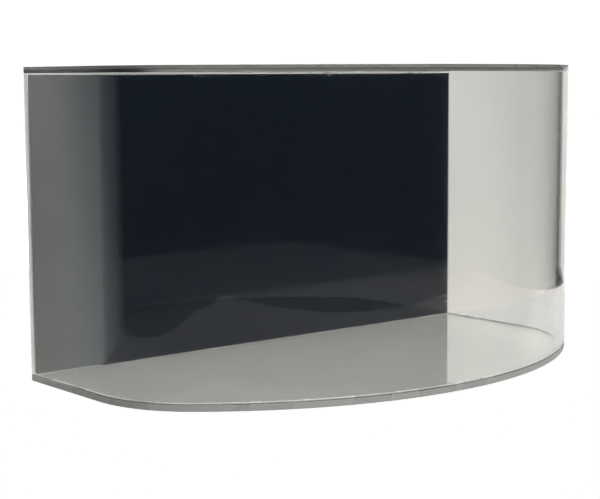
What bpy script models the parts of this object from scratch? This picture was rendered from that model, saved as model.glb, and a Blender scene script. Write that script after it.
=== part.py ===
"""Clear acrylic display case with a D-shaped plan and a glossy black back panel.

The floor plate and the back panel are the base. The bent wall and the top plate are the cover, which
lifts straight up off the base. Lengths are in metres and +Z is up. The bowed front faces -Y, and the
origin is under the middle of the case, on the surface that it stands on.
"""

import math

import bmesh
import bpy

# The outline of the plates, which is also the outer face of the wall
CASE_WIDTH = 0.400
CASE_DEPTH = 0.211
CASE_HEIGHT = 0.210
FRONT_RADIUS = 0.264
CORNER_RADIUS = 0.080

# Sheet thicknesses
PLATE_THICKNESS = 0.0044
WALL_THICKNESS = 0.0062
PANEL_THICKNESS = 0.0032

# The room that the cover has round the back panel as it comes down: at each side and above
PANEL_SIDE_CLEARANCE = 0.0005
PANEL_TOP_CLEARANCE = 0.0008

# The gap left between two pieces that touch or are cemented, and the break on every cut edge
SEAT_GAP = 0.0003
EDGE_BREAK = 0.0004

# The most that a straight facet strays from the true curve
CHORD_ERROR = 0.00002

# Worked out from the sizes above
HALF_WIDTH = CASE_WIDTH / 2
BACK_Y = CASE_DEPTH / 2
FRONT_Y = -CASE_DEPTH / 2
FRONT_CENTRE_Y = FRONT_Y + FRONT_RADIUS
CORNER_CENTRE_X = HALF_WIDTH - CORNER_RADIUS
CORNER_DROP = math.sqrt((FRONT_RADIUS - CORNER_RADIUS) ** 2 - CORNER_CENTRE_X**2)
CORNER_CENTRE_Y = FRONT_CENTRE_Y - CORNER_DROP
CORNER_TURN = math.atan2(CORNER_DROP, CORNER_CENTRE_X)
FLOOR_TOP = PLATE_THICKNESS
SEAT_Z = FLOOR_TOP + SEAT_GAP
TOP_PLATE_Z = CASE_HEIGHT - PLATE_THICKNESS
BETWEEN_PLATES = TOP_PLATE_Z - SEAT_GAP - SEAT_Z

CLEAR_TINT = (0.93, 0.95, 0.94)
PANEL_BLACK = (0.012, 0.014, 0.018)
ACRYLIC_IOR = 1.49


def clear_scene():
    for thing in list(bpy.data.objects):
        bpy.data.objects.remove(thing)


def clear_acrylic(name):
    """Polished see-through acrylic with a very faint cool tint."""
    material = bpy.data.materials.new(name)
    material.use_nodes = True
    material.diffuse_color = (*CLEAR_TINT, 0.35)
    shader = material.node_tree.nodes["Principled BSDF"]
    shader.inputs["Base Color"].default_value = (*CLEAR_TINT, 1.0)
    shader.inputs["Roughness"].default_value = 0.03
    shader.inputs["Metallic"].default_value = 0.0
    shader.inputs["IOR"].default_value = ACRYLIC_IOR
    shader.inputs["Transmission Weight"].default_value = 1.0
    return material


def gloss_black(name):
    """Solid black acrylic sheet with its factory polish."""
    material = bpy.data.materials.new(name)
    material.use_nodes = True
    material.diffuse_color = (*PANEL_BLACK, 1.0)
    shader = material.node_tree.nodes["Principled BSDF"]
    shader.inputs["Base Color"].default_value = (*PANEL_BLACK, 1.0)
    shader.inputs["Roughness"].default_value = 0.06
    shader.inputs["Metallic"].default_value = 0.0
    shader.inputs["IOR"].default_value = ACRYLIC_IOR
    return material


def arc(centre, radius, start, end, segments):
    """Points on a circle from one angle to another, with both ends."""
    centre_x, centre_y = centre
    angles = [start + (end - start) * step / segments for step in range(segments + 1)]
    return [(centre_x + radius * math.cos(a), centre_y + radius * math.sin(a)) for a in angles]


def segments_for(radius, turn):
    """How many facets keep a curve of this radius within the chord error."""
    return math.ceil(turn / (2 * math.acos(1 - CHORD_ERROR / radius)))


def d_outline(inset):
    """The case's outline moved inwards, from the back right corner round the front to the back left one."""
    side_x = HALF_WIDTH - inset
    corner_radius = CORNER_RADIUS - inset
    front_turn = math.pi - 2 * CORNER_TURN
    corner_segments = segments_for(CORNER_RADIUS, CORNER_TURN)
    front_segments = segments_for(FRONT_RADIUS, front_turn)
    right_corner = arc(
        (CORNER_CENTRE_X, CORNER_CENTRE_Y), corner_radius, 0.0, -CORNER_TURN, corner_segments
    )
    front = arc(
        (0.0, FRONT_CENTRE_Y),
        FRONT_RADIUS - inset,
        -CORNER_TURN,
        CORNER_TURN - math.pi,
        front_segments,
    )
    left_corner = arc(
        (-CORNER_CENTRE_X, CORNER_CENTRE_Y),
        corner_radius,
        CORNER_TURN - math.pi,
        -math.pi,
        corner_segments,
    )
    # Each arc starts on the last point of the one before it, which is left out of the second.
    return [(side_x, BACK_Y), *right_corner, *front[1:], *left_corner[1:], (-side_x, BACK_Y)]


def finish_object(mesh_builder, name, material):
    """Turns a finished bmesh into a smooth-shaded object whose cut edges are broken."""
    bmesh.ops.recalc_face_normals(mesh_builder, faces=mesh_builder.faces)
    mesh = bpy.data.meshes.new(name)
    mesh_builder.to_mesh(mesh)
    mesh_builder.free()
    mesh.shade_smooth()
    mesh.set_sharp_from_angle(angle=math.radians(30))
    mesh.materials.append(material)
    thing = bpy.data.objects.new(name, mesh)
    bpy.context.scene.collection.objects.link(thing)
    edge_break = thing.modifiers.new("edge_break", "BEVEL")
    edge_break.width = EDGE_BREAK
    edge_break.segments = 1
    edge_break.limit_method = "ANGLE"
    edge_break.angle_limit = math.radians(50)
    return thing


def plate(name, outline, thickness, material):
    """A flat sheet of any outline, standing on its own origin's level."""
    mesh_builder = bmesh.new()
    corners = [mesh_builder.verts.new((x, y, 0.0)) for x, y in outline]
    underside = mesh_builder.faces.new(corners)
    raised = bmesh.ops.extrude_face_region(mesh_builder, geom=[underside], use_keep_orig=True)
    lifted = [item for item in raised["geom"] if isinstance(item, bmesh.types.BMVert)]
    bmesh.ops.translate(mesh_builder, verts=lifted, vec=(0.0, 0.0, thickness))
    return finish_object(mesh_builder, name, material)


def upright_strip(name, outer, inner, height, material):
    """A bent strip of sheet on edge, between two outlines with the same number of points."""
    mesh_builder = bmesh.new()
    sections = []
    for (outer_x, outer_y), (inner_x, inner_y) in zip(outer, inner):
        corners = (
            (outer_x, outer_y, 0.0),
            (outer_x, outer_y, height),
            (inner_x, inner_y, height),
            (inner_x, inner_y, 0.0),
        )
        sections.append([mesh_builder.verts.new(corner) for corner in corners])
    for here, beyond in zip(sections, sections[1:]):
        for side in range(4):
            turn = (side + 1) % 4
            mesh_builder.faces.new((here[side], here[turn], beyond[turn], beyond[side]))
    mesh_builder.faces.new(sections[0])
    mesh_builder.faces.new(reversed(sections[-1]))
    return finish_object(mesh_builder, name, material)


def rectangle(low_x, high_x, low_y, high_y):
    return [(low_x, low_y), (high_x, low_y), (high_x, high_y), (low_x, high_y)]


def make_bottom_plate():
    return plate("bottom_plate", d_outline(0.0), PLATE_THICKNESS, clear_acrylic("clear_floor"))


def make_back_panel():
    """The panel stands on the floor plate between the side walls, level with the back edges."""
    half_panel = HALF_WIDTH - WALL_THICKNESS - PANEL_SIDE_CLEARANCE
    outline = rectangle(-half_panel, half_panel, BACK_Y - PANEL_THICKNESS, BACK_Y)
    height = TOP_PLATE_Z - PANEL_TOP_CLEARANCE - SEAT_Z
    panel = plate("back_panel", outline, height, gloss_black("panel_black"))
    panel.location.z = SEAT_Z
    return panel


def make_cover():
    """The wall and the top plate, on an empty at the height where the wall rests on the floor plate."""
    cover = bpy.data.objects.new("cover", None)
    cover.location.z = SEAT_Z
    bpy.context.scene.collection.objects.link(cover)
    wall = upright_strip(
        "curved_wall",
        d_outline(0.0),
        d_outline(WALL_THICKNESS),
        BETWEEN_PLATES,
        clear_acrylic("clear_wall"),
    )
    top = plate("top_plate", d_outline(0.0), PLATE_THICKNESS, clear_acrylic("clear_top"))
    top.location.z = TOP_PLATE_Z - SEAT_Z
    for piece in (wall, top):
        piece.parent = cover


def main():
    clear_scene()
    make_bottom_plate()
    make_back_panel()
    make_cover()


main()
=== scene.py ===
"""The looks of the display case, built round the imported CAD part.

Every sheet of the case is rebuilt here with finer curves and rounded edges, in the place that its CAD node
has. Lengths are in metres, and the positions come from the frame.
"""

import math

import bmesh
import bpy
from mathutils import Matrix, Vector


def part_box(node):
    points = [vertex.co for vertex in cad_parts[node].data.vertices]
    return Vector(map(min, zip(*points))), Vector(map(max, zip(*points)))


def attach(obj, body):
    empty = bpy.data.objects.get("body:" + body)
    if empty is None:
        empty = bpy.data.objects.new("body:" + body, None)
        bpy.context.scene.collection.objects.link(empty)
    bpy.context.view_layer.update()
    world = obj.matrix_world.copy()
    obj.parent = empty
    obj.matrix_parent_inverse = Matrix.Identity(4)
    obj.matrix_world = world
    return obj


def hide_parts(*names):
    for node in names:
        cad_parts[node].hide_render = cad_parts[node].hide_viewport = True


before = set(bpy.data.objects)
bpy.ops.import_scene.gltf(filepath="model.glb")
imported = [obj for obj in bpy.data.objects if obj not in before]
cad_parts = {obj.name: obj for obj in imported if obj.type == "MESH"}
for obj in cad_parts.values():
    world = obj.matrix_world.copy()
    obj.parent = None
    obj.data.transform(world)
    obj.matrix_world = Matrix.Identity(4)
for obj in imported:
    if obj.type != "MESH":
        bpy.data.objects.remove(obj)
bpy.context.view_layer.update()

# Read from the frame
FLOOR_LOW, FLOOR_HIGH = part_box("bottom_plate")
TOP_LOW, TOP_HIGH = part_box("top_plate")
WALL_LOW, WALL_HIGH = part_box("curved_wall")
PANEL_LOW, PANEL_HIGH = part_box("back_panel")
HALF_WIDTH = FLOOR_HIGH.x
FRONT_Y = FLOOR_LOW.y
BACK_Y = FLOOR_HIGH.y

# The outline's curves and the wall's sheet, as in the CAD part
FRONT_RADIUS = 0.264
CORNER_RADIUS = 0.080
WALL_THICKNESS = 0.0062

# Worked out from the sizes above
FRONT_CENTRE_Y = FRONT_Y + FRONT_RADIUS
CORNER_CENTRE_X = HALF_WIDTH - CORNER_RADIUS
CORNER_DROP = math.sqrt((FRONT_RADIUS - CORNER_RADIUS) ** 2 - CORNER_CENTRE_X**2)
CORNER_CENTRE_Y = FRONT_CENTRE_Y - CORNER_DROP
CORNER_TURN = math.atan2(CORNER_DROP, CORNER_CENTRE_X)

# The finish of the meshes
CURVE_STEP = math.radians(0.6)
EDGE_RADIUS = 0.00035
EDGE_SEGMENTS = 3
SHARP_ANGLE = math.radians(50)

# The acrylic: how strongly the sheets grey what is seen through them, per metre, and how much of the light
# that meets a sanded or a polished edge goes in
ACRYLIC_IOR = 1.491
SHEET_DENSITY = 1.0
TOP_DENSITY = 9.0
SANDED_TRANSMISSION = 0.2
POLISHED_TRANSMISSION = 0.95

# The top plate's edge is polished up to this height
POLISHED_BELOW = TOP_HIGH.z - 0.0018
POLISH_BLEND = 0.0004

# Which of a piece's materials a face has, and which of a bent strip's four sides is its underside
FACE_INDEX = 0
EDGE_INDEX = 1
FOOT_INDEX = 2
FOOT_SIDE = 3

# The camera, worked out from the photograph's perspective
CAMERA_PLACE = Vector((-0.6738, -0.7584, 0.2026))
CAMERA_TURN = 0.6868
CAMERA_DOWN = 0.1178
CAMERA_ROLL = -0.0058
CAMERA_LENS = 87.65
SENSOR_WIDTH = 36.0


# ---------------------------------------------------------------- shapes


def arc(centre, radius, start, end):
    """Points on a circle from one angle to another, with both ends."""
    steps = max(2, math.ceil(abs(end - start) / CURVE_STEP))
    angles = [start + (end - start) * step / steps for step in range(steps + 1)]
    return [(centre[0] + radius * math.cos(a), centre[1] + radius * math.sin(a)) for a in angles]


def d_outline(inset):
    """The case's outline moved inwards, from the back right corner round the front to the back left one."""
    side_x = HALF_WIDTH - inset
    corner_radius = CORNER_RADIUS - inset
    right_corner = arc((CORNER_CENTRE_X, CORNER_CENTRE_Y), corner_radius, 0.0, -CORNER_TURN)
    front = arc((0.0, FRONT_CENTRE_Y), FRONT_RADIUS - inset, -CORNER_TURN, CORNER_TURN - math.pi)
    left_corner = arc(
        (-CORNER_CENTRE_X, CORNER_CENTRE_Y), corner_radius, CORNER_TURN - math.pi, -math.pi
    )
    return [(side_x, BACK_Y), *right_corner, *front[1:], *left_corner[1:], (-side_x, BACK_Y)]


def finish_piece(builder, name, materials):
    """Turns a bmesh, whose faces hold their material's index, into an object with rounded edges."""
    bmesh.ops.recalc_face_normals(builder, faces=builder.faces)
    mesh = bpy.data.meshes.new(name)
    builder.to_mesh(mesh)
    builder.free()
    for material in materials:
        mesh.materials.append(material)
    mesh.shade_smooth()
    piece = bpy.data.objects.new(name, mesh)
    bpy.context.scene.collection.objects.link(piece)
    rounding = piece.modifiers.new("polished_edges", "BEVEL")
    rounding.width = EDGE_RADIUS
    rounding.segments = EDGE_SEGMENTS
    rounding.limit_method = "ANGLE"
    rounding.angle_limit = SHARP_ANGLE
    normals = piece.modifiers.new("flat_faces_stay_flat", "WEIGHTED_NORMAL")
    normals.mode = "FACE_AREA"
    normals.weight = 50
    return piece


def plate(name, outline, low_z, high_z, face_material, edge_material):
    """A flat sheet of any outline between two heights, with its cut edge all round."""
    builder = bmesh.new()
    underside = builder.faces.new([builder.verts.new((x, y, low_z)) for x, y in outline])
    raised = bmesh.ops.extrude_face_region(builder, geom=[underside], use_keep_orig=True)
    lifted = [item for item in raised["geom"] if isinstance(item, bmesh.types.BMVert)]
    bmesh.ops.translate(builder, verts=lifted, vec=(0.0, 0.0, high_z - low_z))
    for face in builder.faces:
        face.normal_update()
        lies_flat = abs(face.normal.z) > 0.5
        face.material_index = FACE_INDEX if lies_flat else EDGE_INDEX
    return finish_piece(builder, name, (face_material, edge_material))


def upright_strip(name, outer, inner, low_z, high_z, face_material, end_material, foot_material):
    """A bent strip of sheet on edge, between two outlines with the same number of points."""
    builder = bmesh.new()
    sections = []
    for (outer_x, outer_y), (inner_x, inner_y) in zip(outer, inner):
        corners = (
            (outer_x, outer_y, low_z),
            (outer_x, outer_y, high_z),
            (inner_x, inner_y, high_z),
            (inner_x, inner_y, low_z),
        )
        sections.append([builder.verts.new(corner) for corner in corners])
    for here, beyond in zip(sections, sections[1:]):
        for side in range(4):
            turn = (side + 1) % 4
            face = builder.faces.new((here[side], here[turn], beyond[turn], beyond[side]))
            face.material_index = FOOT_INDEX if side == FOOT_SIDE else FACE_INDEX
    builder.faces.new(sections[0]).material_index = EDGE_INDEX
    builder.faces.new(reversed(sections[-1])).material_index = EDGE_INDEX
    return finish_piece(builder, name, (face_material, end_material, foot_material))


def rectangle(low, high):
    return [(low.x, low.y), (high.x, low.y), (high.x, high.y), (low.x, high.y)]


# ---------------------------------------------------------------- materials


class Nodes:
    """Short calls for building one material's node tree."""

    def __init__(self, name):
        self.material = bpy.data.materials.new(name)
        self.material.use_nodes = True
        self.tree = self.material.node_tree
        self.shader = self.tree.nodes["Principled BSDF"]
        self.output = self.tree.nodes["Material Output"]
        self.place = self.add("ShaderNodeTexCoord").outputs["Object"]

    def add(self, kind, **settings):
        node = self.tree.nodes.new(kind)
        for key, value in settings.items():
            setattr(node, key, value)
        return node

    def link(self, start, end):
        self.tree.links.new(start, end)

    def stretched(self, scale, turn=(0.0, 0.0, 0.0)):
        """The object's coordinates, scaled along each axis and turned."""
        mapping = self.add("ShaderNodeMapping")
        mapping.inputs["Scale"].default_value = scale
        mapping.inputs["Rotation"].default_value = turn
        self.link(self.place, mapping.inputs["Vector"])
        return mapping.outputs["Vector"]

    def noise(self, vector, scale, detail):
        node = self.add("ShaderNodeTexNoise")
        node.inputs["Scale"].default_value = scale
        node.inputs["Detail"].default_value = detail
        self.link(vector, node.inputs["Vector"])
        return node.outputs["Fac"]

    def ramp(self, value, low, high, low_out=0.0, high_out=1.0):
        """A smooth step from low_out to high_out as value goes from low to high."""
        node = self.add("ShaderNodeMapRange", interpolation_type="SMOOTHSTEP")
        node.inputs["From Min"].default_value = low
        node.inputs["From Max"].default_value = high
        node.inputs["To Min"].default_value = low_out
        node.inputs["To Max"].default_value = high_out
        self.link(value, node.inputs["Value"])
        return node.outputs["Result"]

    def math(self, operation, first, second):
        node = self.add("ShaderNodeMath", operation=operation)
        for socket, value in zip(node.inputs, (first, second)):
            if isinstance(value, (int, float)):
                socket.default_value = value
            else:
                self.link(value, socket)
        return node.outputs["Value"]

    def along(self, axis):
        """One of the object's coordinates: X, Y or Z."""
        apart = self.add("ShaderNodeSeparateXYZ")
        self.link(self.place, apart.inputs["Vector"])
        return apart.outputs[axis]

    def blend(self, factor, first, second):
        """The colour first where factor is 0 and second where it is 1. Either is a colour or a socket."""
        node = self.add("ShaderNodeMix", data_type="RGBA")
        self.link(factor, node.inputs["Factor"])
        for socket, colour in zip(node.inputs[6:8], (first, second)):
            if isinstance(colour, tuple):
                socket.default_value = (*colour, 1.0)
            else:
                self.link(colour, socket)
        return node.outputs[2]

    def scratches(self, scale, turn, width):
        """Fine straight wiping marks: 1 on a mark and 0 between."""
        cells = self.add("ShaderNodeTexVoronoi", feature="DISTANCE_TO_EDGE")
        cells.inputs["Scale"].default_value = 1.0
        cells.inputs["Randomness"].default_value = 1.0
        self.link(self.stretched(scale, turn), cells.inputs["Vector"])
        return self.ramp(cells.outputs["Distance"], 0.0, width, 1.0, 0.0)

    def bump(self, height, strength, distance):
        """Raises the shader's surface where height is large."""
        node = self.add("ShaderNodeBump")
        node.inputs["Strength"].default_value = strength
        node.inputs["Distance"].default_value = distance
        self.link(height, node.inputs["Height"])
        self.link(node.outputs["Normal"], self.shader.inputs["Normal"])

    def lets_lamps_through(self, share):
        """Light from the lamps passes the clear sheet instead of leaving a solid shadow."""
        path = self.add("ShaderNodeLightPath")
        passing = self.add("ShaderNodeBsdfTransparent")
        passing.inputs["Color"].default_value = (share, share, share, 1.0)
        mixed = self.add("ShaderNodeMixShader")
        self.link(path.outputs["Is Shadow Ray"], mixed.inputs["Fac"])
        self.link(self.shader.outputs["BSDF"], mixed.inputs[1])
        self.link(passing.outputs["BSDF"], mixed.inputs[2])
        self.link(mixed.outputs["Shader"], self.output.inputs["Surface"])

    def absorbs(self, density):
        """The faint grey that the sheet takes on over a long way through it."""
        volume = self.add("ShaderNodeVolumeAbsorption")
        volume.inputs["Color"].default_value = (0.5, 0.5, 0.48, 1.0)
        volume.inputs["Density"].default_value = density
        self.link(volume.outputs["Volume"], self.output.inputs["Volume"])


def clear_acrylic(name, ripple_strength, density, cemented_heights=()):
    """Polished clear sheet with wiping marks, smudges, the slow ripple of bent acrylic and cement marks."""
    nodes = Nodes(name)
    shader = nodes.shader
    shader.inputs["Base Color"].default_value = (0.985, 0.985, 0.98, 1.0)
    shader.inputs["IOR"].default_value = ACRYLIC_IOR
    shader.inputs["Transmission Weight"].default_value = 1.0
    clouds = nodes.noise(nodes.stretched((1.0, 1.0, 0.6)), 22.0, 5.0)
    smudges = nodes.ramp(clouds, 0.5, 0.75, 0.008, 0.038)
    marks = nodes.scratches((60.0, 60.0, 900.0), (0.3, 0.2, 0.5), 0.02)
    roughness = nodes.math("MAXIMUM", smudges, nodes.math("MULTIPLY", marks, 0.12))
    for joint_z in cemented_heights:
        away = nodes.math("ABSOLUTE", nodes.math("SUBTRACT", nodes.along("Z"), joint_z), 0.0)
        near = nodes.ramp(away, 0.001, 0.004, 1.0, 0.0)
        blots = nodes.ramp(nodes.noise(nodes.stretched((1.0, 1.0, 1.6)), 120.0, 3.0), 0.64, 0.74)
        cement = nodes.math("MULTIPLY", nodes.math("MULTIPLY", near, blots), 0.22)
        roughness = nodes.math("MAXIMUM", roughness, cement)
    nodes.link(roughness, shader.inputs["Roughness"])
    ripple = nodes.noise(nodes.stretched((1.0, 1.0, 0.35)), 14.0, 1.0)
    nodes.bump(ripple, ripple_strength, 0.0006)
    nodes.absorbs(density)
    nodes.lets_lamps_through(0.93)
    return nodes.material


def edge_grey(tone):
    """The slightly warm grey of a sawn edge."""
    return (tone, 0.995 * tone, 0.96 * tone)


def sanded_edge(name, low_tone, high_tone, density, polished_below=None):
    """The cut edge of a clear sheet: satin grey, with fine saw marks across it and small nicks.

    Below the height polished_below it is polished, so that one sees into the sheet there.
    """
    nodes = Nodes(name)
    shader = nodes.shader
    shader.inputs["IOR"].default_value = ACRYLIC_IOR
    shader.inputs["Transmission Weight"].default_value = SANDED_TRANSMISSION
    patches = nodes.noise(nodes.stretched((1.0, 1.0, 0.4)), 26.0, 3.0)
    nicks = nodes.ramp(nodes.noise(nodes.place, 420.0, 1.0), 0.70, 0.76)
    worn = nodes.math("MAXIMUM", patches, nicks)
    tone = nodes.blend(worn, edge_grey(low_tone), edge_grey(high_tone))
    roughness = nodes.ramp(patches, 0.3, 0.7, 0.22, 0.36)
    if polished_below is not None:
        start = polished_below - POLISH_BLEND
        polish = nodes.ramp(nodes.along("Z"), start, polished_below + POLISH_BLEND, 1.0, 0.0)
        tone = nodes.blend(polish, tone, (0.95, 0.95, 0.93))
        roughness = nodes.math("MULTIPLY", roughness, nodes.ramp(polish, 0.0, 1.0, 1.0, 0.35))
        clear = nodes.ramp(polish, 0.0, 1.0, SANDED_TRANSMISSION, POLISHED_TRANSMISSION)
        nodes.link(clear, shader.inputs["Transmission Weight"])
    nodes.link(tone, shader.inputs["Base Color"])
    nodes.link(roughness, shader.inputs["Roughness"])
    nodes.bump(nodes.noise(nodes.stretched((280.0, 280.0, 40.0)), 1.0, 2.0), 0.08, 0.0001)
    nodes.absorbs(density)
    nodes.lets_lamps_through(0.6)
    return nodes.material


def black_acrylic(name):
    """Glossy black sheet: a deep blue-black with dust, faint smudges and hairline marks in its polish."""
    nodes = Nodes(name)
    shader = nodes.shader
    shader.inputs["IOR"].default_value = ACRYLIC_IOR
    clouds = nodes.noise(nodes.place, 9.0, 4.0)
    black = nodes.blend(clouds, (0.0024, 0.0044, 0.0078), (0.0042, 0.0066, 0.0112))
    dust = nodes.ramp(nodes.noise(nodes.place, 600.0, 0.0), 0.84, 0.90)
    nodes.link(nodes.blend(dust, black, (0.03, 0.03, 0.03)), shader.inputs["Base Color"])
    patches = nodes.noise(nodes.stretched((1.0, 1.0, 0.7)), 16.0, 5.0)
    smudges = nodes.ramp(patches, 0.45, 0.75, 0.03, 0.09)
    marks = nodes.math("MULTIPLY", nodes.scratches((70.0, 70.0, 800.0), (0.1, 0.4, 0.3), 0.02), 0.15)
    nodes.link(nodes.math("MAXIMUM", smudges, marks), shader.inputs["Roughness"])
    nodes.bump(nodes.noise(nodes.place, 10.0, 2.0), 0.12, 0.0005)
    return nodes.material


# ---------------------------------------------------------------- the case


def place_piece(piece, body, node):
    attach(piece, body)
    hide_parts(node)


def make_case():
    flat = clear_acrylic("flat_clear_acrylic", 0.0, SHEET_DENSITY)
    bent = clear_acrylic("bent_clear_acrylic", 0.2, SHEET_DENSITY, (WALL_LOW.z, WALL_HIGH.z))
    top_sheet = clear_acrylic("top_clear_acrylic", 0.0, TOP_DENSITY)
    # The four sanded edges are one material. Their greys differ as painted light and shade: the wall's ends
    # are painted lighter for the light from behind, the floor plate's edge is painted lighter for the light
    # from the table, and the wall's foot and the top plate's edge are painted darker, as shade.
    floor_edge = sanded_edge("sanded_floor_edge", 0.38, 0.50, SHEET_DENSITY)
    wall_end = sanded_edge("sanded_wall_end", 0.52, 0.68, SHEET_DENSITY)
    wall_foot = sanded_edge("sanded_wall_foot", 0.32, 0.40, SHEET_DENSITY)
    top_edge = sanded_edge("top_plate_edge", 0.22, 0.32, TOP_DENSITY, POLISHED_BELOW)
    black = black_acrylic("gloss_black_acrylic")

    floor_plate = plate("floor_plate", d_outline(0.0), FLOOR_LOW.z, FLOOR_HIGH.z, flat, floor_edge)
    place_piece(floor_plate, "base", "bottom_plate")

    panel_outline = rectangle(PANEL_LOW, PANEL_HIGH)
    panel = plate("black_panel", panel_outline, PANEL_LOW.z, PANEL_HIGH.z, black, black)
    place_piece(panel, "base", "back_panel")

    wall = upright_strip(
        "bent_wall",
        d_outline(0.0),
        d_outline(WALL_THICKNESS),
        WALL_LOW.z,
        WALL_HIGH.z,
        bent,
        wall_end,
        wall_foot,
    )
    place_piece(wall, "cover", "curved_wall")

    top = plate("cover_top", d_outline(0.0), TOP_LOW.z, TOP_HIGH.z, top_sheet, top_edge)
    place_piece(top, "cover", "top_plate")


# ---------------------------------------------------------------- the studio


# The table and the board, which the camera sees only through the case's sheets or mirrored in them
TABLE_LEFT = -0.44
TABLE_RIGHT = 0.47
TABLE_FRONT = -0.45
TABLE_BACK = 0.62
TABLE_Z = -0.0005
BOARD_Y = 0.124
BOARD_RIGHT = 0.62
BOARD_HEIGHT = 0.45

# The board's painted light, as greys from left to right: (share of the way from TABLE_LEFT to LAST_TONE_X,
# grey)
LAST_TONE_X = 0.40
BOARD_PAINTED_LIGHT = (
    (0.0, 0.26),
    (0.161, 0.44),
    (0.198, 0.56),
    (0.236, 0.90),
    (0.714, 0.80),
    (0.905, 0.75),
    (1.0, 0.94),
)

# The ground that the camera sees, which lies just under the table
FLOOR_HALF = 6.0
FLOOR_Z = 2 * TABLE_Z


def matt_white(name):
    nodes = Nodes(name)
    nodes.shader.inputs["Roughness"].default_value = 0.9
    nodes.shader.inputs["Specular IOR Level"].default_value = 0.1
    return nodes


def white_floor_material():
    """The pale ground as the camera sees it directly."""
    nodes = Nodes("white_floor")
    nodes.shader.inputs["Base Color"].default_value = (0.5, 0.5, 0.5, 1.0)
    nodes.shader.inputs["Roughness"].default_value = 0.9
    nodes.shader.inputs["Emission Color"].default_value = (1.0, 1.0, 1.0, 1.0)
    nodes.shader.inputs["Emission Strength"].default_value = 1.0
    return nodes.material


def table_material():
    """A matt table with painted shade: pale under the case, behind it and to its right, and darker in front
    and to the left.
    """
    nodes = matt_white("white_table")
    inside_x = nodes.ramp(nodes.along("X"), -HALF_WIDTH - 0.04, -HALF_WIDTH)
    inside_y = nodes.ramp(nodes.along("Y"), FRONT_Y - 0.05, FRONT_Y)
    inside = nodes.math("MULTIPLY", inside_x, inside_y)
    # The darker grey outside the case, in front and to the left, is painted shade.
    tone = nodes.blend(inside, (0.135, 0.135, 0.132), (0.345, 0.34, 0.325))
    nodes.link(tone, nodes.shader.inputs["Base Color"])
    return nodes.material


def board_material():
    """A matt white board with its light painted into its colour: the light falls off to the left, where the
    board is also painted cooler and dims upwards.
    """
    nodes = matt_white("white_board")
    share = nodes.add("ShaderNodeMapRange")
    share.inputs["From Min"].default_value = TABLE_LEFT
    share.inputs["From Max"].default_value = LAST_TONE_X
    nodes.link(nodes.along("X"), share.inputs["Value"])
    greys = nodes.add("ShaderNodeValToRGB")
    stops = greys.color_ramp.elements
    while len(stops) < len(BOARD_PAINTED_LIGHT):
        stops.new(0.5)
    for stop, (position, tone) in zip(stops, BOARD_PAINTED_LIGHT):
        stop.position = position
        stop.color = (tone, 0.985 * tone, 0.94 * tone, 1.0)
    nodes.link(share.outputs["Result"], greys.inputs["Fac"])
    dimming = nodes.add("ShaderNodeMapRange")
    dimming.inputs["From Max"].default_value = 0.2
    dimming.inputs["To Min"].default_value = 1.22
    dimming.inputs["To Max"].default_value = 0.78
    nodes.link(nodes.along("Z"), dimming.inputs["Value"])
    cooler = nodes.add("ShaderNodeCombineColor")
    for channel, gain in (("Red", 0.95), ("Green", 1.01), ("Blue", 1.04)):
        nodes.link(nodes.math("MULTIPLY", dimming.outputs["Result"], gain), cooler.inputs[channel])
    graded = nodes.add("ShaderNodeMix", data_type="RGBA", blend_type="MULTIPLY")
    # Painted shade: at the left end the board is painted cooler and dimmer upwards.
    nodes.link(nodes.ramp(nodes.along("X"), -0.26, -0.22, 1.0, 0.0), graded.inputs["Factor"])
    nodes.link(greys.outputs["Color"], graded.inputs[6])
    nodes.link(cooler.outputs["Color"], graded.inputs[7])
    nodes.link(graded.outputs[2], nodes.shader.inputs["Base Color"])
    return nodes.material


def stage_card(name, corners, material):
    builder = bmesh.new()
    builder.faces.new([builder.verts.new(corner) for corner in corners])
    mesh = bpy.data.meshes.new(name)
    builder.to_mesh(mesh)
    builder.free()
    mesh.materials.append(material)
    card = bpy.data.objects.new(name, mesh)
    bpy.context.scene.collection.objects.link(card)
    return card


def make_stage():
    """A white ground for the camera, with a table and a board that show only in and through the sheets."""
    floor_corners = [
        (across * FLOOR_HALF, along * FLOOR_HALF, FLOOR_Z)
        for across, along in ((-1, -1), (1, -1), (1, 1), (-1, 1))
    ]
    floor = stage_card("floor", floor_corners, white_floor_material())
    floor.visible_glossy = False
    floor.visible_transmission = False
    floor.visible_diffuse = False
    floor.visible_shadow = False
    table_corners = [
        (TABLE_LEFT, TABLE_FRONT, TABLE_Z),
        (TABLE_RIGHT, TABLE_FRONT, TABLE_Z),
        (TABLE_RIGHT, TABLE_BACK, TABLE_Z),
        (TABLE_LEFT, TABLE_BACK, TABLE_Z),
    ]
    table = stage_card("table", table_corners, table_material())
    table.visible_camera = False
    board_corners = [
        (TABLE_LEFT, BOARD_Y, TABLE_Z),
        (BOARD_RIGHT, BOARD_Y, TABLE_Z),
        (BOARD_RIGHT, BOARD_Y, BOARD_HEIGHT),
        (TABLE_LEFT, BOARD_Y, BOARD_HEIGHT),
    ]
    board = stage_card("board", board_corners, board_material())
    board.visible_camera = False
    board.visible_shadow = False


def softbox(name, place, target, size, power):
    light = bpy.data.lights.new(name, "AREA")
    light.shape = "RECTANGLE"
    light.size, light.size_y = size
    light.energy = power
    lamp = bpy.data.objects.new(name, light)
    bpy.context.scene.collection.objects.link(lamp)
    lamp.location = place
    lamp.rotation_euler = (Vector(target) - Vector(place)).to_track_quat("-Z", "Y").to_euler()
    lamp.visible_camera = False
    return lamp


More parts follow.
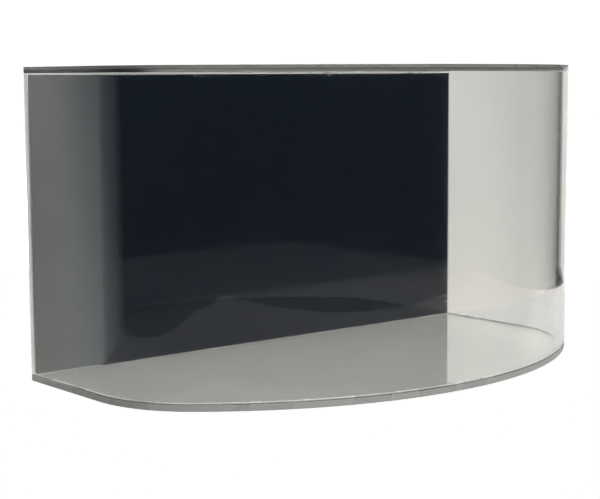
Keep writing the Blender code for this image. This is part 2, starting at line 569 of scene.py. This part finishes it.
def make_world():
    """White behind everything, seen directly or through clear sheets, and a dim room for mirrored light."""
    world = bpy.data.worlds.new("studio")
    bpy.context.scene.world = world
    world.use_nodes = True
    tree = world.node_tree
    tree.nodes.clear()
    output = tree.nodes.new("ShaderNodeOutputWorld")
    mixed = tree.nodes.new("ShaderNodeMixShader")
    path = tree.nodes.new("ShaderNodeLightPath")
    room = tree.nodes.new("ShaderNodeBackground")
    room.inputs["Color"].default_value = (0.85, 0.92, 1.0, 1.0)
    room.inputs["Strength"].default_value = 0.035
    white = tree.nodes.new("ShaderNodeBackground")
    white.inputs["Color"].default_value = (1.0, 1.0, 1.0, 1.0)
    white.inputs["Strength"].default_value = 1.05
    mirrored = tree.nodes.new("ShaderNodeMath")
    mirrored.operation = "ADD"
    tree.links.new(path.outputs["Glossy Depth"], mirrored.inputs[0])
    tree.links.new(path.outputs["Diffuse Depth"], mirrored.inputs[1])
    unmirrored = tree.nodes.new("ShaderNodeMath")
    unmirrored.operation = "LESS_THAN"
    unmirrored.inputs[1].default_value = 0.5
    tree.links.new(mirrored.outputs["Value"], unmirrored.inputs[0])
    tree.links.new(unmirrored.outputs["Value"], mixed.inputs["Fac"])
    tree.links.new(room.outputs["Background"], mixed.inputs[1])
    tree.links.new(white.outputs["Background"], mixed.inputs[2])
    tree.links.new(mixed.outputs["Shader"], output.inputs["Surface"])


def make_lights():
    softbox("softbox_over", (0.0, -0.25, 1.5), (0.0, 0.0, 0.0), (1.6, 1.2), 28.0)
    softbox("softbox_front", (-0.1, -1.7, 1.3), (0.0, 0.1, 0.15), (1.4, 0.9), 28.0)
    behind = softbox("softbox_behind", (1.0, 1.6, 0.9), (0.0, 0.0, 0.1), (0.3, 0.3), 55.0)
    behind.visible_glossy = False
    behind.visible_transmission = False


def make_camera():
    camera = bpy.data.cameras.new("camera")
    camera.lens = CAMERA_LENS
    camera.sensor_width = SENSOR_WIDTH
    camera.clip_start = 0.01
    camera.clip_end = 50.0
    holder = bpy.data.objects.new("camera", camera)
    bpy.context.scene.collection.objects.link(holder)
    turn = Matrix.Rotation(-CAMERA_TURN, 4, "Z")
    tilt = Matrix.Rotation(math.pi / 2 - CAMERA_DOWN, 4, "X")
    roll = Matrix.Rotation(CAMERA_ROLL, 4, "Z")
    holder.matrix_world = Matrix.Translation(CAMERA_PLACE) @ turn @ tilt @ roll
    bpy.context.scene.camera = holder


def set_colour_view():
    """Plain sRGB, and enough bounces for light to cross both walls of the case and come back."""
    scene = bpy.context.scene
    scene.view_settings.view_transform = "Standard"
    scene.view_settings.look = "None"
    scene.cycles.max_bounces = 24
    scene.cycles.transmission_bounces = 24
    scene.cycles.glossy_bounces = 12
    scene.cycles.transparent_max_bounces = 24


make_case()
make_stage()
make_world()
make_lights()
make_camera()
set_colour_view()
